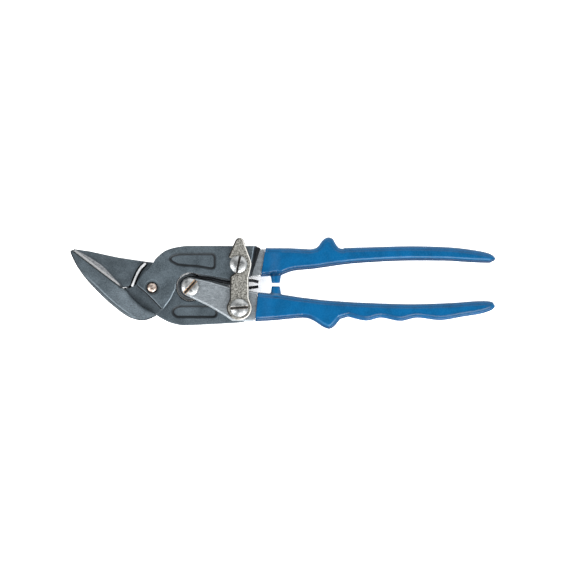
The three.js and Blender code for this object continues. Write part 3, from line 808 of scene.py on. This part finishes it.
def makeUpperForging():
    size = upperForging
    block = Block((-50.5, -24.5, farFloor), (63.5, 24.5, raisedTop), size["step"])
    x, y, z = block.x, block.y, block.z
    hub = [
        *curve([(-20, 18.3), (-5.1, 16.0), (-0.2, 15.4), (7.5, 12.9), (12, 9.2)]),
        *arc(handlePivot, 8.8, 138, 268),
        offset(lowerPivot, -7.0, 8.6),
        *arc(lowerPivot, 9.3, 95, -88),
        *curve([
            *offsets(lowerPivot, (-3.3, -9.6), (-18, -10.4)), (20.6, -23.3), (14.5, -22.6),
            (9.6, -21.1), (4.6, -18.5), (2.8, -17.3), (-5, -13.5), (-11, -7), (-13.6, -1.5), (-17.5, 0.6),
        ]),
        (-22, 8),
    ]
    tip = besideEdge(edgeLength + 1.2, 0.6)
    # the raised blade ends beside a bright machined ledge
    ledgeLine = curve([(-12.2, 1.3), (-10.6, 5.0), (-8.9, 8.8), (-7.0, 11.9), (-4.5, 14.4)])
    raised = [
        tip, besideEdge(0.5, 1.5), (-13.9, 0.9), *[offset(p, -1.08, 0.38) for p in ledgeLine], (-4.3, 15.5),
        *curve([(-5.1, 16.0), (-16.2, 17.5), (-30.9, 20.6), (-38, 22.2)]), offset(tip, 1.6, 0.9),
    ]
    land = [
        *curve([
            (-46.6, 23.0), (-41.5, 20.3), (-37.0, 17.6), (-30.3, 13.0), (-25.4, 8.0), (-22.0, 4.3),
            (-18.6, 1.0),
        ]),
        *edgeSpots((-1.5, 2.5), (edgeLength + 2, 2.5)),
    ]
    pocket = [
        *curve([(15.1, -18.9), (12.5, -17.2), (11.6, -14.6), (13.2, -12.0), (16.6, -10.6)], 5),
        (38.8, -10.6), *arc((37.2, -15.9), 3.0, 0, -90, 6),
    ]
    landFlat = outlineDistance(land, x, y)
    pocketFlat = outlineDistance(pocket, x, y)
    hubRoof = farTop - size["pocketDepth"] * ramp(-pocketFlat, 0, 1.3)
    base = rounded(outlineDistance(hub, x, y), np.maximum(farFloor - z, (z - hubRoof) * 0.9), size["edge"])
    top = raisedTop - size["slope"] * np.maximum(landFlat, 0)
    raisedFlat = outlineDistance(raised, x, y)
    slab = rounded(raisedFlat, (z - top) * 0.97, 0.7)
    slab = rounded(slab, raisedTop - size["bladeThickness"] - z, 1.0)
    body = joined(base, slab, 0.4)
    ledge = lineDistance(ledgeLine, x, y) - 0.8
    body = joined(body, rounded(ledge, between(z, farTop - 1, raisedTop - 0.9), 0.3))

    body = cutBy(body, circleDistance(mainPivot, 4.3, x, y), 0.2)
    body = cutBy(body, circleDistance(lowerPivot, openPivotBore, x, y), 0.2)
    body = cutBy(body, legRoom(block, -1))

    def ground(px, py, pz):
        lens = ramp(-outlineDistance(land, px, py), -0.1, 0.25) * ramp(pz, raisedTop - 0.7, raisedTop - 0.3)
        lens = lens * ramp(-px, 18.4, 20.6)
        ledgeBand = ramp(-lineDistance(ledgeLine, px, py), -1.0, -0.8)
        ledgeBand = ledgeBand * ramp(pz, raisedTop - 1.6, raisedTop - 1.1)
        return np.maximum(lens, ledgeBand)

    def shade_and_highlight(px, py, pz):
        # painted shade in the pocket's ring, in the trench beside the ledge, on the flank of the land and
        # faintly over the raised blade; painted highlight along the cutting edge and on the ledge
        ring = recessRing(pocket, farTop, px, py, pz)
        beside, fromLand = lineDistance(ledgeLine, px, py), outlineDistance(land, px, py)
        trench = ramp(-beside, -2.0, -1.6) * ramp(-pz, -(raisedTop - 1.0), -(raisedTop - 2.0))
        trench = trench * ramp(-outlineDistance(raised, px, py), -1.3, -0.9)
        cutting = ramp(acrossEdge(px, py), -1.35, -1.0) * ramp(-fromLand, -0.1, 0.25)
        cutting = cutting * ramp(pz, raisedTop - 0.7, raisedTop - 0.3) * ramp(-px, 19.0, 21.0)
        onLedge = ramp(-beside, -0.75, -0.5) * ramp(pz, raisedTop - 1.6, raisedTop - 1.1)
        bright = np.maximum(0.8 * cutting, 0.6 * onLedge)
        # painted shade: the flank of the land stays a little darker than the rest
        flank = ramp(fromLand, 0.1, 0.4) * ramp(-fromLand, -1.4, -0.5)
        onBlade = ramp(pz, farTop + 0.5, farTop + 1.5)
        dark = np.maximum.reduce([0.75 * ring, 0.9 * trench, 0.4 * flank * onBlade, 0.14 * onBlade])
        return np.where(bright > 0.1, -bright, dark)

    piece("upper_blade_forging", block, body, "upper_blade", "forging", ["upper_blade_lever"],
          {"ground": ground, "shade_and_highlight": shade_and_highlight})


# Handles

upperFront = {"top": offset(upperPivot, 16.5, 10.2), "bottom": offset(upperPivot, 13.4, -7.6)}
lowerFront = {"top": offset(lowerPivot, 11.4, 9.4), "bottom": offset(lowerPivot, 9.6, -8.6)}
gripFront, gripRear = 50, 93
rearStart = (upperPivot[0] + lowerPivot[0]) / 2 + 14 + gripFront


def rearAt(share):
    return rearStart + share * gripRear


def stationsOf(front, near, rear):
    return [
        *((front["top"][0] + x, y, half) for x, y, half in near),
        *((rearAt(share), y, half) for share, y, half in rear),
    ]


upperStations = stationsOf(
    upperFront, [(-5, 15.3, 7.2), (8, 15.8, 6.2), (19, 17.4, 4.9), (34, 18.0, 4.4)],
    [(0, 19.5, 3.3), (0.35, 20.9, 3.0), (0.7, 20.4, 2.6), (0.93, 18.6, 1.7)],
)
lowerStations = stationsOf(
    lowerFront, [(-4, -11.9, 7.4), (8, -12.0, 6.3), (22, -12.2, 4.9), (36, -12.9, 3.9)],
    [(0.03, -13.4, 2.9), (0.35, -15.1, 3.0), (0.68, -14.4, 2.7), (0.93, -11.7, 1.7)],
)

# lift carries a handle's stations and outline along with its arm pivot
drawnUpper, drawnLower = 14.2, -12.2
upperHandle = {
    "body": "upper_handle", "side": -1, "front": upperFront, "stations": upperStations,
    "lift": upperPivot[1] - drawnUpper, "pivot": upperPivot,
}
lowerHandle = {
    "body": "lower_handle", "side": 1, "front": lowerFront, "stations": lowerStations,
    "lift": lowerPivot[1] - drawnLower, "pivot": lowerPivot,
}


def strip(handle, grow):
    stations, lift = handle["stations"], handle["lift"]
    lastX, lastY, lastHalf = stations[-1]
    top = [(x, y + lift + half + grow) for x, y, half in stations]
    bottom = [(x, y + lift - half - grow) for x, y, half in stations]
    return [*bottom, *arc((lastX, lastY + lift), lastHalf + grow, -60, 60, 8), *top[::-1]]


def cranked(block, side, front, grow):
    # heights of a bar: beside the middle plane at the pivots, on it inside the coat
    share = ramp(block.x, front, front + 11)
    outer = middle + side * (barThickness + 0.15)
    inner = middle + side * 0.15
    low = min(outer, inner) * (1 - share) + (middle - 2.7) * share - grow
    high = max(outer, inner) * (1 - share) + (middle + 2.7) * share + grow
    slope = np.where((share > 0) & (share < 1), 0.97, 1.0)
    return low, high, slope


bar = {"step": 0.42, "edge": 0.45, "chamfer": 0.8}


def frontLine(edge, x, y):
    # distance behind the front edge of a coat, below 0 ahead of it
    (topX, topY), (lowX, lowY) = edge["top"], edge["bottom"]
    long = math.hypot(topX - lowX, topY - lowY)
    return ((x - lowX) * (topY - lowY) - (y - lowY) * (topX - lowX)) / long


def makeBar(handle, outline, boxLow, boxHigh):
    body, side = handle["body"], handle["side"]
    low, high = heights(body + "_bar")
    block = Block((*boxLow, low), (*boxHigh, high), bar["step"])
    x, y, z = block.x, block.y, block.z
    flat = outlineDistance(outline, x, y)
    floor, roof, slope = cranked(block, side, handle["front"]["top"][0], 0)
    if side > 0:
        solid = rounded(chamfered(flat, (z - roof) * slope, bar["chamfer"]), (floor - z) * slope, bar["edge"])
    else:
        solid = rounded(flat, np.maximum(z - roof, floor - z) * slope, bar["edge"])
    # square in front of the coat, and slimmer inside it
    solid = np.maximum(solid, frontLine(handle["front"], x, y) + 0.25)
    core = outlineDistance(strip(handle, -0.7), x, y)
    solid = joined(solid, rounded(core, np.maximum(z - roof, floor - z) * slope, 0.4))
    for pivot in (handlePivot, handle["pivot"]):
        solid = cutBy(solid, circleDistance(pivot, screwBore, x, y))
    ring = np.maximum(circleDistance(handlePivot, 8.3, x, y), -circleDistance(handlePivot, 4.6, x, y))
    depth = spring["rise"] + spring["wire"] + 0.3
    ring = np.maximum(ring, z - (middle + depth) if side > 0 else middle - depth - z)
    solid = cutBy(cutBy(solid, ring), legRoom(block, side))
    piece(body + "_steel", block, solid, body, "bar_steel", [body + "_bar"])


def makeBars():
    upperOutline = [
        *arc(handlePivot, 8.25, 105, 265),
        offset(handlePivot, waist, -2.7),
        *offsets(upperPivot, (-6.3, -13.1), (5.2, -8.3), (8.2, -7.3)),
        *offsets(upperFront["bottom"], (0, 0.3), (4, 0.3)), *offsets(upperFront["top"], (4, -0.4), (0, -0.4)),
        *offsets(upperPivot, (10.7, 9.1), (-4.0, 8.2), (-7.9, 5.2)),
        offset(handlePivot, waist, 13.0),
    ]
    lowerOutline = [
        *arc(handlePivot, 5.9, 76, 238),
        offset(handlePivot, waist, -12.0), *offsets(lowerPivot, (-8.4, -5.3), (-4.5, -8.0)),
        *offsets(lowerFront["bottom"], (0, 0), (4, 0)), *offsets(lowerFront["top"], (4, 0), (0, 0)),
        *offsets(lowerPivot, (6.5, 10.1), (-6.8, 12.9)), offset(handlePivot, waist, 3.6),
    ]
    makeBar(upperHandle, upperOutline, (15, -9), (206, 25))
    makeBar(lowerHandle, lowerOutline, (16, -21.5), (206, 7))


coat = {
    "step": 0.42, "wall": 1.5, "edge": 2.0, "shoulder": 0.5, "shoulderInset": 2.5,
    "stopWidth": 7.0, "stopTaper": 1.0, "stopRound": 0.18, "stopHalf": 3.4, "stopGap": 2.0, "stopPlace": 8.6,
}


def makeCoat(handle, outline, boxLow, boxHigh):
    body, side = handle["body"], handle["side"]
    low, high = heights(body + "_grip")
    block = Block((*boxLow, low), (*boxHigh, high), coat["step"])
    x, y, z = block.x, block.y, block.z
    front = handle["front"]["top"][0]
    floor, roof, slope = cranked(block, side, front, coat["wall"])
    # flat faces inside a shoulder that follows the outline; the front is cut square through the rounded sides
    plan = [offset(outline[0], -6, 0), *outline, offset(outline[-1], -6, 0)]
    wide = outlineDistance(plan, x, y)
    drop = coat["shoulder"] * (1 - ramp(-wide, coat["shoulderInset"] - 0.5, coat["shoulderInset"] + 0.4))
    shell = rounded(wide, np.maximum(z - roof + drop, floor + drop - z) * slope, coat["edge"])
    shell = rounded(shell, -frontLine(handle["front"], x, y), 0.3)
    # peg that meets the other handle's peg
    rest = (upperPivot[1] + lowerPivot[1]) / 2 + 0.8 - side * coat["stopGap"] / 2
    root = upperFront["bottom"][1] + 2.7 if side < 0 else lowerFront["top"][1] - 2.7
    post = (upperFront["top"][0] + lowerFront["top"][0]) / 2 + coat["stopPlace"]
    half = coat["stopWidth"] / 2
    tip = half - coat["stopTaper"]
    peg = [(post - half, root), (post - tip, rest), (post + tip, rest), (post + half, root)]
    swell = coat["stopHalf"] - coat["stopRound"] * (x - post) ** 2
    pegBody = rounded(outlineDistance(peg, x, y), (np.abs(z - middle) - swell) * 0.8, 0.7)
    shell = joined(shell, pegBody, 1.0)
    inner, outer, _ = cranked(block, side, front, 0.3)
    cavity = np.maximum(outlineDistance(strip(handle, -0.4), x, y), np.maximum(inner - z, z - outer))
    shell = cutBy(shell, cavity)

    def facing(px, py):
        # 1 where the nearest edge looks up in the plan, -1 where it looks down
        return (outlineDistance(plan, px, py + 0.3) - outlineDistance(plan, px, py - 0.3)) / 0.6

    def painted_crease_light(px, py, pz):
        # creases: painted shade below the shoulder line and a painted highlight along it, on the top side of
        # edges that face down in the plan
        inset = -outlineDistance(plan, px, py)
        low = np.clip(-facing(px, py), 0, 1) * ramp(inset, -0.6, -0.1)
        behind = px - front
        crest = np.exp(-((inset - 2.15) / 0.35) ** 2)
        if side < 0:
            light = 0.4 * crest * ramp(behind, 44, 54)
            dark = np.maximum(0.85 * ramp(-inset, -2.0, -1.2), 0.5 * crest * (behind < 46))
        else:
            rear = ramp(behind, 48, 56)
            light = 0.55 * crest * ramp(behind, 34, 37) * (1 - rear)
            dark = 0.5 * np.exp(-((inset - 2.7) / 0.45) ** 2) * rear
            dark = np.maximum(dark, 0.5 * crest * (behind < 33))
            dark = np.maximum(dark, (0.75 - 0.45 * rear) * ramp(-inset, -1.8 - 0.6 * (behind < 33), -1.0))
        return np.where(pz > middle, low * (dark * (1 - (light > 0.1) * crest) - light), 0)

    def sheen_speckle(px, py, pz):
        # painted grey sheen on the edges that face up in the plan, on the top side only
        inset = -outlineDistance(plan, px, py)
        up = np.clip(facing(px, py), 0, 1) * ramp(inset, -0.6, -0.1)
        return 0.7 * up * ramp(-inset, -1.5, -0.5) * (pz > middle)

    marks = {"painted_crease_light": painted_crease_light, "sheen_speckle": sheen_speckle}
    piece(body + "_coat", block, shell, body, "handle_coat", [body + "_grip"], marks, 9)


def fromFront(handle, *spots):
    return offsets((handle["front"]["top"][0], handle["lift"]), *spots)


def fromRear(handle, *spots):
    return [(rearAt(share), height + handle["lift"]) for share, height in spots]


def makeCoats():
    upperOutline = [
        upperFront["bottom"],
        *curve([
            *fromFront(upperHandle, (10, 7.7), (17, 10.2), (30, 11.5), (46, 13.8)),
            *fromRear(upperHandle, (0.11, 15.0), (0.38, 16.3), (0.66, 16.3), (0.78, 15.7), (0.9, 15.1),
                      (0.965, 15.0)),
        ], 4),
        *curve(fromRear(upperHandle, (0.995, 16.6), (1, 18.1), (0.975, 20.4), (0.94, 21.6), (0.86, 23.1),
                        (0.7, 24.8), (0.45, 25.5), (0.18, 24.9), (0, 24.4)), 4),
        *curve(fromFront(
            upperHandle, (47.7, 23.9), (45.3, 24.3), (43.5, 26.0), (42.2, 28.2), (41.1, 30.0), (38.6, 30.9),
            (36.2, 30.1), (34.4, 28.5), (32.8, 26.2), (30.9, 24.4), (27.4, 23.6),
        ), 4),
        *fromFront(upperHandle, (14, 24.3)), upperFront["top"],
    ]
    lowerOutline = [
        lowerFront["bottom"],
        *curve(fromFront(lowerHandle, (10, -20.2), (21, -19.1), (29, -18.7), (34, -20.4), (39.5, -24.0),
                         (43.6, -25.4), (46.9, -23.6), (50.3, -19.4)), 4),
        *curve(fromRear(lowerHandle, (0.03, -18.0), (0.148, -20.4), (0.247, -18.6), (0.372, -20.6),
                        (0.483, -18.6), (0.61, -20.0), (0.68, -19.7), (0.78, -18.0), (0.9, -16.2),
                        (0.975, -13.9), (1, -11.4)), 5),
        *curve(fromRear(lowerHandle, (0.985, -8.9), (0.95, -8.1), (0.86, -8.2), (0.7, -9.3), (0.42, -10.0),
                        (0.07, -8.9)), 4),
        *fromFront(lowerHandle, (40, -7.6), (26, -5.9), (15, -4.2)), lowerFront["top"],
    ]
    makeCoat(upperHandle, upperOutline, (65.5, 2), (210.5, 31.5))
    makeCoat(lowerHandle, lowerOutline, (62.5, -26), (210.5, 1.5))


# Latch

latch = {"step": 0.26, "edge": 0.45, "chamfer": 0.5, "eye": 7.7, "tip": 2.9}


def makeLatch():
    low, high = heights("latch")
    block = Block((44, -21, low), (63, 31, high), latch["step"])
    x, y, z = block.x, block.y, block.z
    outline = [
        *[offset(p, 0.7, 13.3) for p in arc(upperPivot, latch["tip"], 155, 15)],
        offset(upperPivot, 4.3, 11.4),
        *curve(offsets(upperPivot, (7.4, 3.2), (8.0, 1.2), (8.0, -0.8), (7.6, -2.8)), 3),
        offset(upperPivot, 6.2, -8.3), offset(lowerPivot, 5.9, 5.8),
        *arc(lowerPivot, latch["eye"], 12, -190, 40),
        offset(lowerPivot, -5.8, 5.0), *offsets(upperPivot, (-5.0, -7.4), (-2.2, -5.2)),
        *arc(upperPivot, 2.4, -60, 80), *offsets(upperPivot, (-5.6, 4.0), (-6.2, 4.9)),
    ]
    flat = outlineDistance(outline, x, y)
    plate = rounded(chamfered(flat, z - high, latch["chamfer"]), low - z, latch["edge"])
    plate = cutBy(plate, circleDistance(lowerPivot, screwBore, x, y), 0.2)

    def rim(px, py, pz):
        # painted highlight where the top's border faces right in the plan, dimmer at the very edge, and
        # painted shade where it faces left
        out = outlineDistance(outline, px, py)
        turned = outlineDistance(outline, px + 0.3, py - 0.1) - out
        turned = np.clip(turned / 0.25, -1, 1)
        band = ramp(out, -0.95, -0.65) * ramp(pz, high - 1.6, high - 1.0)
        outer = ramp(out, -0.4, -0.15)
        return band * np.where(turned > 0, turned * (1 - 1.6 * outer), turned)

    piece("latch_lever", block, plate, "latch", "latch_plate", ["latch"], {"rim": rim})


# Screws, nuts and washers

screw = {"step": 0.2, "headHeight": 2.5, "slotDepth": 1.2, "shank": 3.0, "thread": 2.5, "pitch": 0.8}
nutFlats = 10.0


def makeScrew(name, node, body, centre, headRadius, slotAngle, slotWidth, bearing, brown, neck=None):
    low, high = heights(node)
    high += 0.03
    block = roundBlock(centre, headRadius, low, high, screw["step"])
    x, y, z = block.x, block.y, block.z
    away = circleDistance(centre, 0, x, y)
    seat = high - screw["headHeight"]
    rise = 0.62 * screw["headHeight"]
    ball = (headRadius**2 + rise**2) / (2 * rise)
    dome = np.hypot(away, z - (high - ball)) - ball
    head = rounded(rounded(away - headRadius, dome, 0.35), seat - z, 0.2)
    turn = math.radians(slotAngle)
    beside = np.abs((x - centre[0]) * math.sin(turn) - (y - centre[1]) * math.cos(turn))
    slot = np.maximum(beside - slotWidth / 2, high - screw["slotDepth"] - 0.25 - z)
    head = cutBy(head, slot, 0.12)
    stem = np.maximum(away - screw["shank"], between(z, bearing, seat + 0.2))
    groove = 0.16 * np.abs(((z / screw["pitch"]) % 1.0) - 0.5)
    thread = rounded(away - screw["thread"] + groove, between(z, low, bearing + 0.2), 0.25)
    whole = joined(joined(head, stem), thread)

    def slotMark(px, py, pz):
        # painted shade on the slot's floor, brown or bare on its sides
        side = np.abs((px - centre[0]) * math.sin(turn) - (py - centre[1]) * math.cos(turn))
        down = ramp(high - pz, 0.25, 0.5) * ramp(-side, -slotWidth / 2 - 0.25, -slotWidth / 2)
        inHead = ramp(-np.hypot(px - centre[0], py - centre[1]), -headRadius - 0.2, -headRadius)
        inHead = inHead * ramp(pz, seat, seat + 0.1)
        floor = ramp(-side, -slotWidth / 3, -slotWidth / 5)
        return inHead * down * (floor - brown * (1 - floor))

    if neck:
        waistBody = np.maximum(away - neck[2], between(z, neck[0], neck[1]))
        hollow = np.maximum(between(z, neck[0], neck[1]), away - screw["shank"] - 0.2)
        whole = joined(cutBy(whole, hollow), waistBody)
    piece(name, block, whole, body, "hardware", [node], {"slot": slotMark})


def makeNut(name, node, body, centre):
    low, high = heights(node)
    reach = nutFlats / math.sqrt(3)
    block = roundBlock(centre, reach, low, high, 0.24)
    x, y, z = block.x - centre[0], block.y - centre[1], block.z
    away = np.hypot(x, y)
    whole = rounded(hexagonDistance(nutFlats, x, y), between(z, low, high), 0.2)
    for past in (low + 0.5 - z, z - high + 0.5):
        whole = np.maximum(whole, (away - reach + 0.35 + past) * diagonal)
    whole = cutBy(whole, away - 2.8, 0.25)
    piece(name, block, whole, body, "hardware", [node])


def makeWasher(name, node, body, centre, radius, hole):
    low, high = heights(node)
    block = roundBlock(centre, radius, low, high, 0.22)
    away = circleDistance(centre, 0, block.x, block.y)
    ring = rounded(np.maximum(away - radius, hole - away), between(block.z, low, high), 0.3)
    piece(name, block, ring, body, "hardware", [node])


def makeHardware():
    latchLow, latchHigh = heights("latch")
    neck = (latchLow - 0.3, latchHigh + 0.3, 1.8)
    seat = farFloor + 1.4
    makeScrew("upper_arm_pin", "upper_arm_screw", "upper_handle", upperPivot, 5.4, 78, 1.3, seat, -0.6, neck)
    makeScrew("lower_arm_pin", "lower_arm_screw", "lower_handle", lowerPivot, 5.6, 4, 1.6, farFloor, 0.2)
    makeScrew("handle_pin", "handle_pivot_screw", "lower_handle", handlePivot, 5.5, 48, 1.9, seat, 0.9)
    for place, centre, body in (
        ("upper_arm", upperPivot, "upper_handle"), ("lower_arm", lowerPivot, "lower_handle"),
        ("handle_pivot", handlePivot, "lower_handle"),
    ):
        makeNut(place + "_hexagon", place + "_nut", body, centre)
        makeWasher(place + "_ring", place + "_washer", body, centre, 5.6, screwBore)
    makeWasher("latch_spacer", "latch_washer", "lower_handle", lowerPivot, 6.6, screwBore)
    makeWasher("main_pivot_ring", "main_pivot_washer", "lower_blade", mainPivot, 8.2, 4.3)


mainBolt = {"radius": 4.0, "endRadius": 3.1, "flats": 13.0, "headHeight": 3.8}


def makeMainBolt():
    size = mainBolt
    low, high = heights("main_pivot_bolt")
    reach = size["flats"] / math.sqrt(3)
    block = roundBlock(mainPivot, reach, low, high, 0.26)
    x, y, z = block.x, block.y, block.z
    away = np.hypot(x, y)
    head = rounded(hexagonDistance(size["flats"], x, y), between(z, low, low + size["headHeight"]), 0.25)
    head = np.maximum(head, (away - reach + 0.4 + (low + 0.7 - z)) * diagonal)
    stem = np.maximum(away - size["radius"], between(z, low + 1, nearFloor + 2.6))
    ball = np.hypot(away, z - (high - 5.2)) - 5.2
    end = rounded(rounded(away - size["endRadius"], ball, 0.5), low + 1 - z, 0.1)
    whole = joined(joined(head, stem), end)

    def copper(px, py, pz):
        return ramp(pz, low + 8, low + 9)

    marks = {"ground": copper}
    piece("main_pivot_pin", block, whole, "lower_blade", "pivot_bolt", ["main_pivot_bolt"], marks)


makeLowerForging()
makeUpperForging()
makeBars()
makeCoats()
makeLatch()
makeHardware()
makeMainBolt()
makeSpring()
print("pieces made")


# Floor, light and camera

studio = {
    "zenith": 0.34, "band": 1.35, "key": 12.0, "side": 7.0, "fill": 4.0, "glow": 1.0,
    "distance": 1.6, "width": 0.3473, "sensor": 36.0, "aim": (0.0002, -0.00024, 0.0125),
}


class Sky(Paint):
    # light from all round: dim overhead, bright in a broad band towards the near right
    def __init__(self, world):
        world.use_nodes = True
        self.tree = world.node_tree
        self.shader = self.tree.nodes["Background"]
        self.place = self.node("ShaderNodeTexCoord", {}, {}, "Generated")

    def along(self, direction):
        inputs = {0: self.place, 1: direction}
        return self.node("ShaderNodeVectorMath", {"operation": "DOT_PRODUCT"}, inputs, "Value")

    def spread(self):
        height = self.along((0, 0, 1))
        side = self.along((0.4, -0.92, 0))
        band = self.fit(height, 0.02, 0.4) * (1.0 - self.fit(height, 0.7, 0.95))
        level = band * self.fit(side, -0.8, 0.7, 0.3, 1.0) * studio["band"] + studio["zenith"]
        self.tree.links.new(level.socket, self.shader.inputs["Strength"])
        self.shader.inputs["Color"].default_value = (1, 1, 1, 1)


def makeFloor():
    # glows, so that nothing throws a shadow on it; in narrow gaps it is painted black as shade
    paint = Paint("studio_floor", {
        "Roughness": 0.9, "Specular IOR Level": 0.1, "Emission Strength": studio["glow"],
    })
    cloud = paint.noise(0.01, 2.0)
    around = paint.node("ShaderNodeAmbientOcclusion", {"samples": 8}, {"Distance": 0.02}, "AO")
    # painted shade: the floor's colour and glow turn black where ambient occlusion finds a narrow gap
    clear = paint.fit(around, 0.15, 0.3)
    white = paint.blend(paint.fit(cloud, 0.3, 0.7), (0.93, 0.93, 0.93, 1), (0.96, 0.96, 0.96, 1))
    paint.feed(
        colour=paint.blend(clear, (0.04, 0.04, 0.04, 1), white),
        glow=paint.blend(clear, (0, 0, 0, 1), (1, 1, 1, 1)),
    )
    side, level = 3.0, -0.0002
    mesh = bpy.data.meshes.new("studio_floor")
    corners = [(-side, -side, level), (side, -side, level), (side, side, level), (-side, side, level)]
    mesh.from_pydata(corners, [], [(0, 1, 2, 3)])
    mesh.materials.append(paint.material)
    floor = linked("studio_floor", mesh)


def makeLamp(name, place, size, power):
    lamp = bpy.data.lights.new(name, "AREA")
    lamp.shape = "RECTANGLE"
    lamp.size, lamp.size_y = size
    lamp.energy = power
    holder = linked(name, lamp)
    holder.location = place
    holder.rotation_euler = (Vector(studio["aim"]) - Vector(place)).to_track_quat("-Z", "Y").to_euler()


def makeStudio():
    makeFloor()
    makeLamp("key_lamp", (0.45, -0.95, 0.75), (0.9, 0.5), studio["key"])
    makeLamp("side_lamp", (-0.95, -0.5, 0.9), (0.8, 0.6), studio["side"])
    makeLamp("fill_lamp", (0.2, 1.1, 1.1), (1.4, 0.8), studio["fill"])
    world = bpy.data.worlds.new("studio")
    Sky(world).spread()
    bpy.context.scene.world = world
    lens = bpy.data.cameras.new("top_camera")
    lens.sensor_width = studio["sensor"]
    lens.lens = studio["sensor"] * studio["distance"] / studio["width"]
    lens.clip_end = 20
    camera = linked("top_camera", lens)
    camera.location = Vector(studio["aim"]) + Vector((0, 0, studio["distance"]))
    bpy.context.scene.camera = camera
    bpy.context.scene.view_settings.view_transform = "Standard"


makeStudio()
print("studio made")
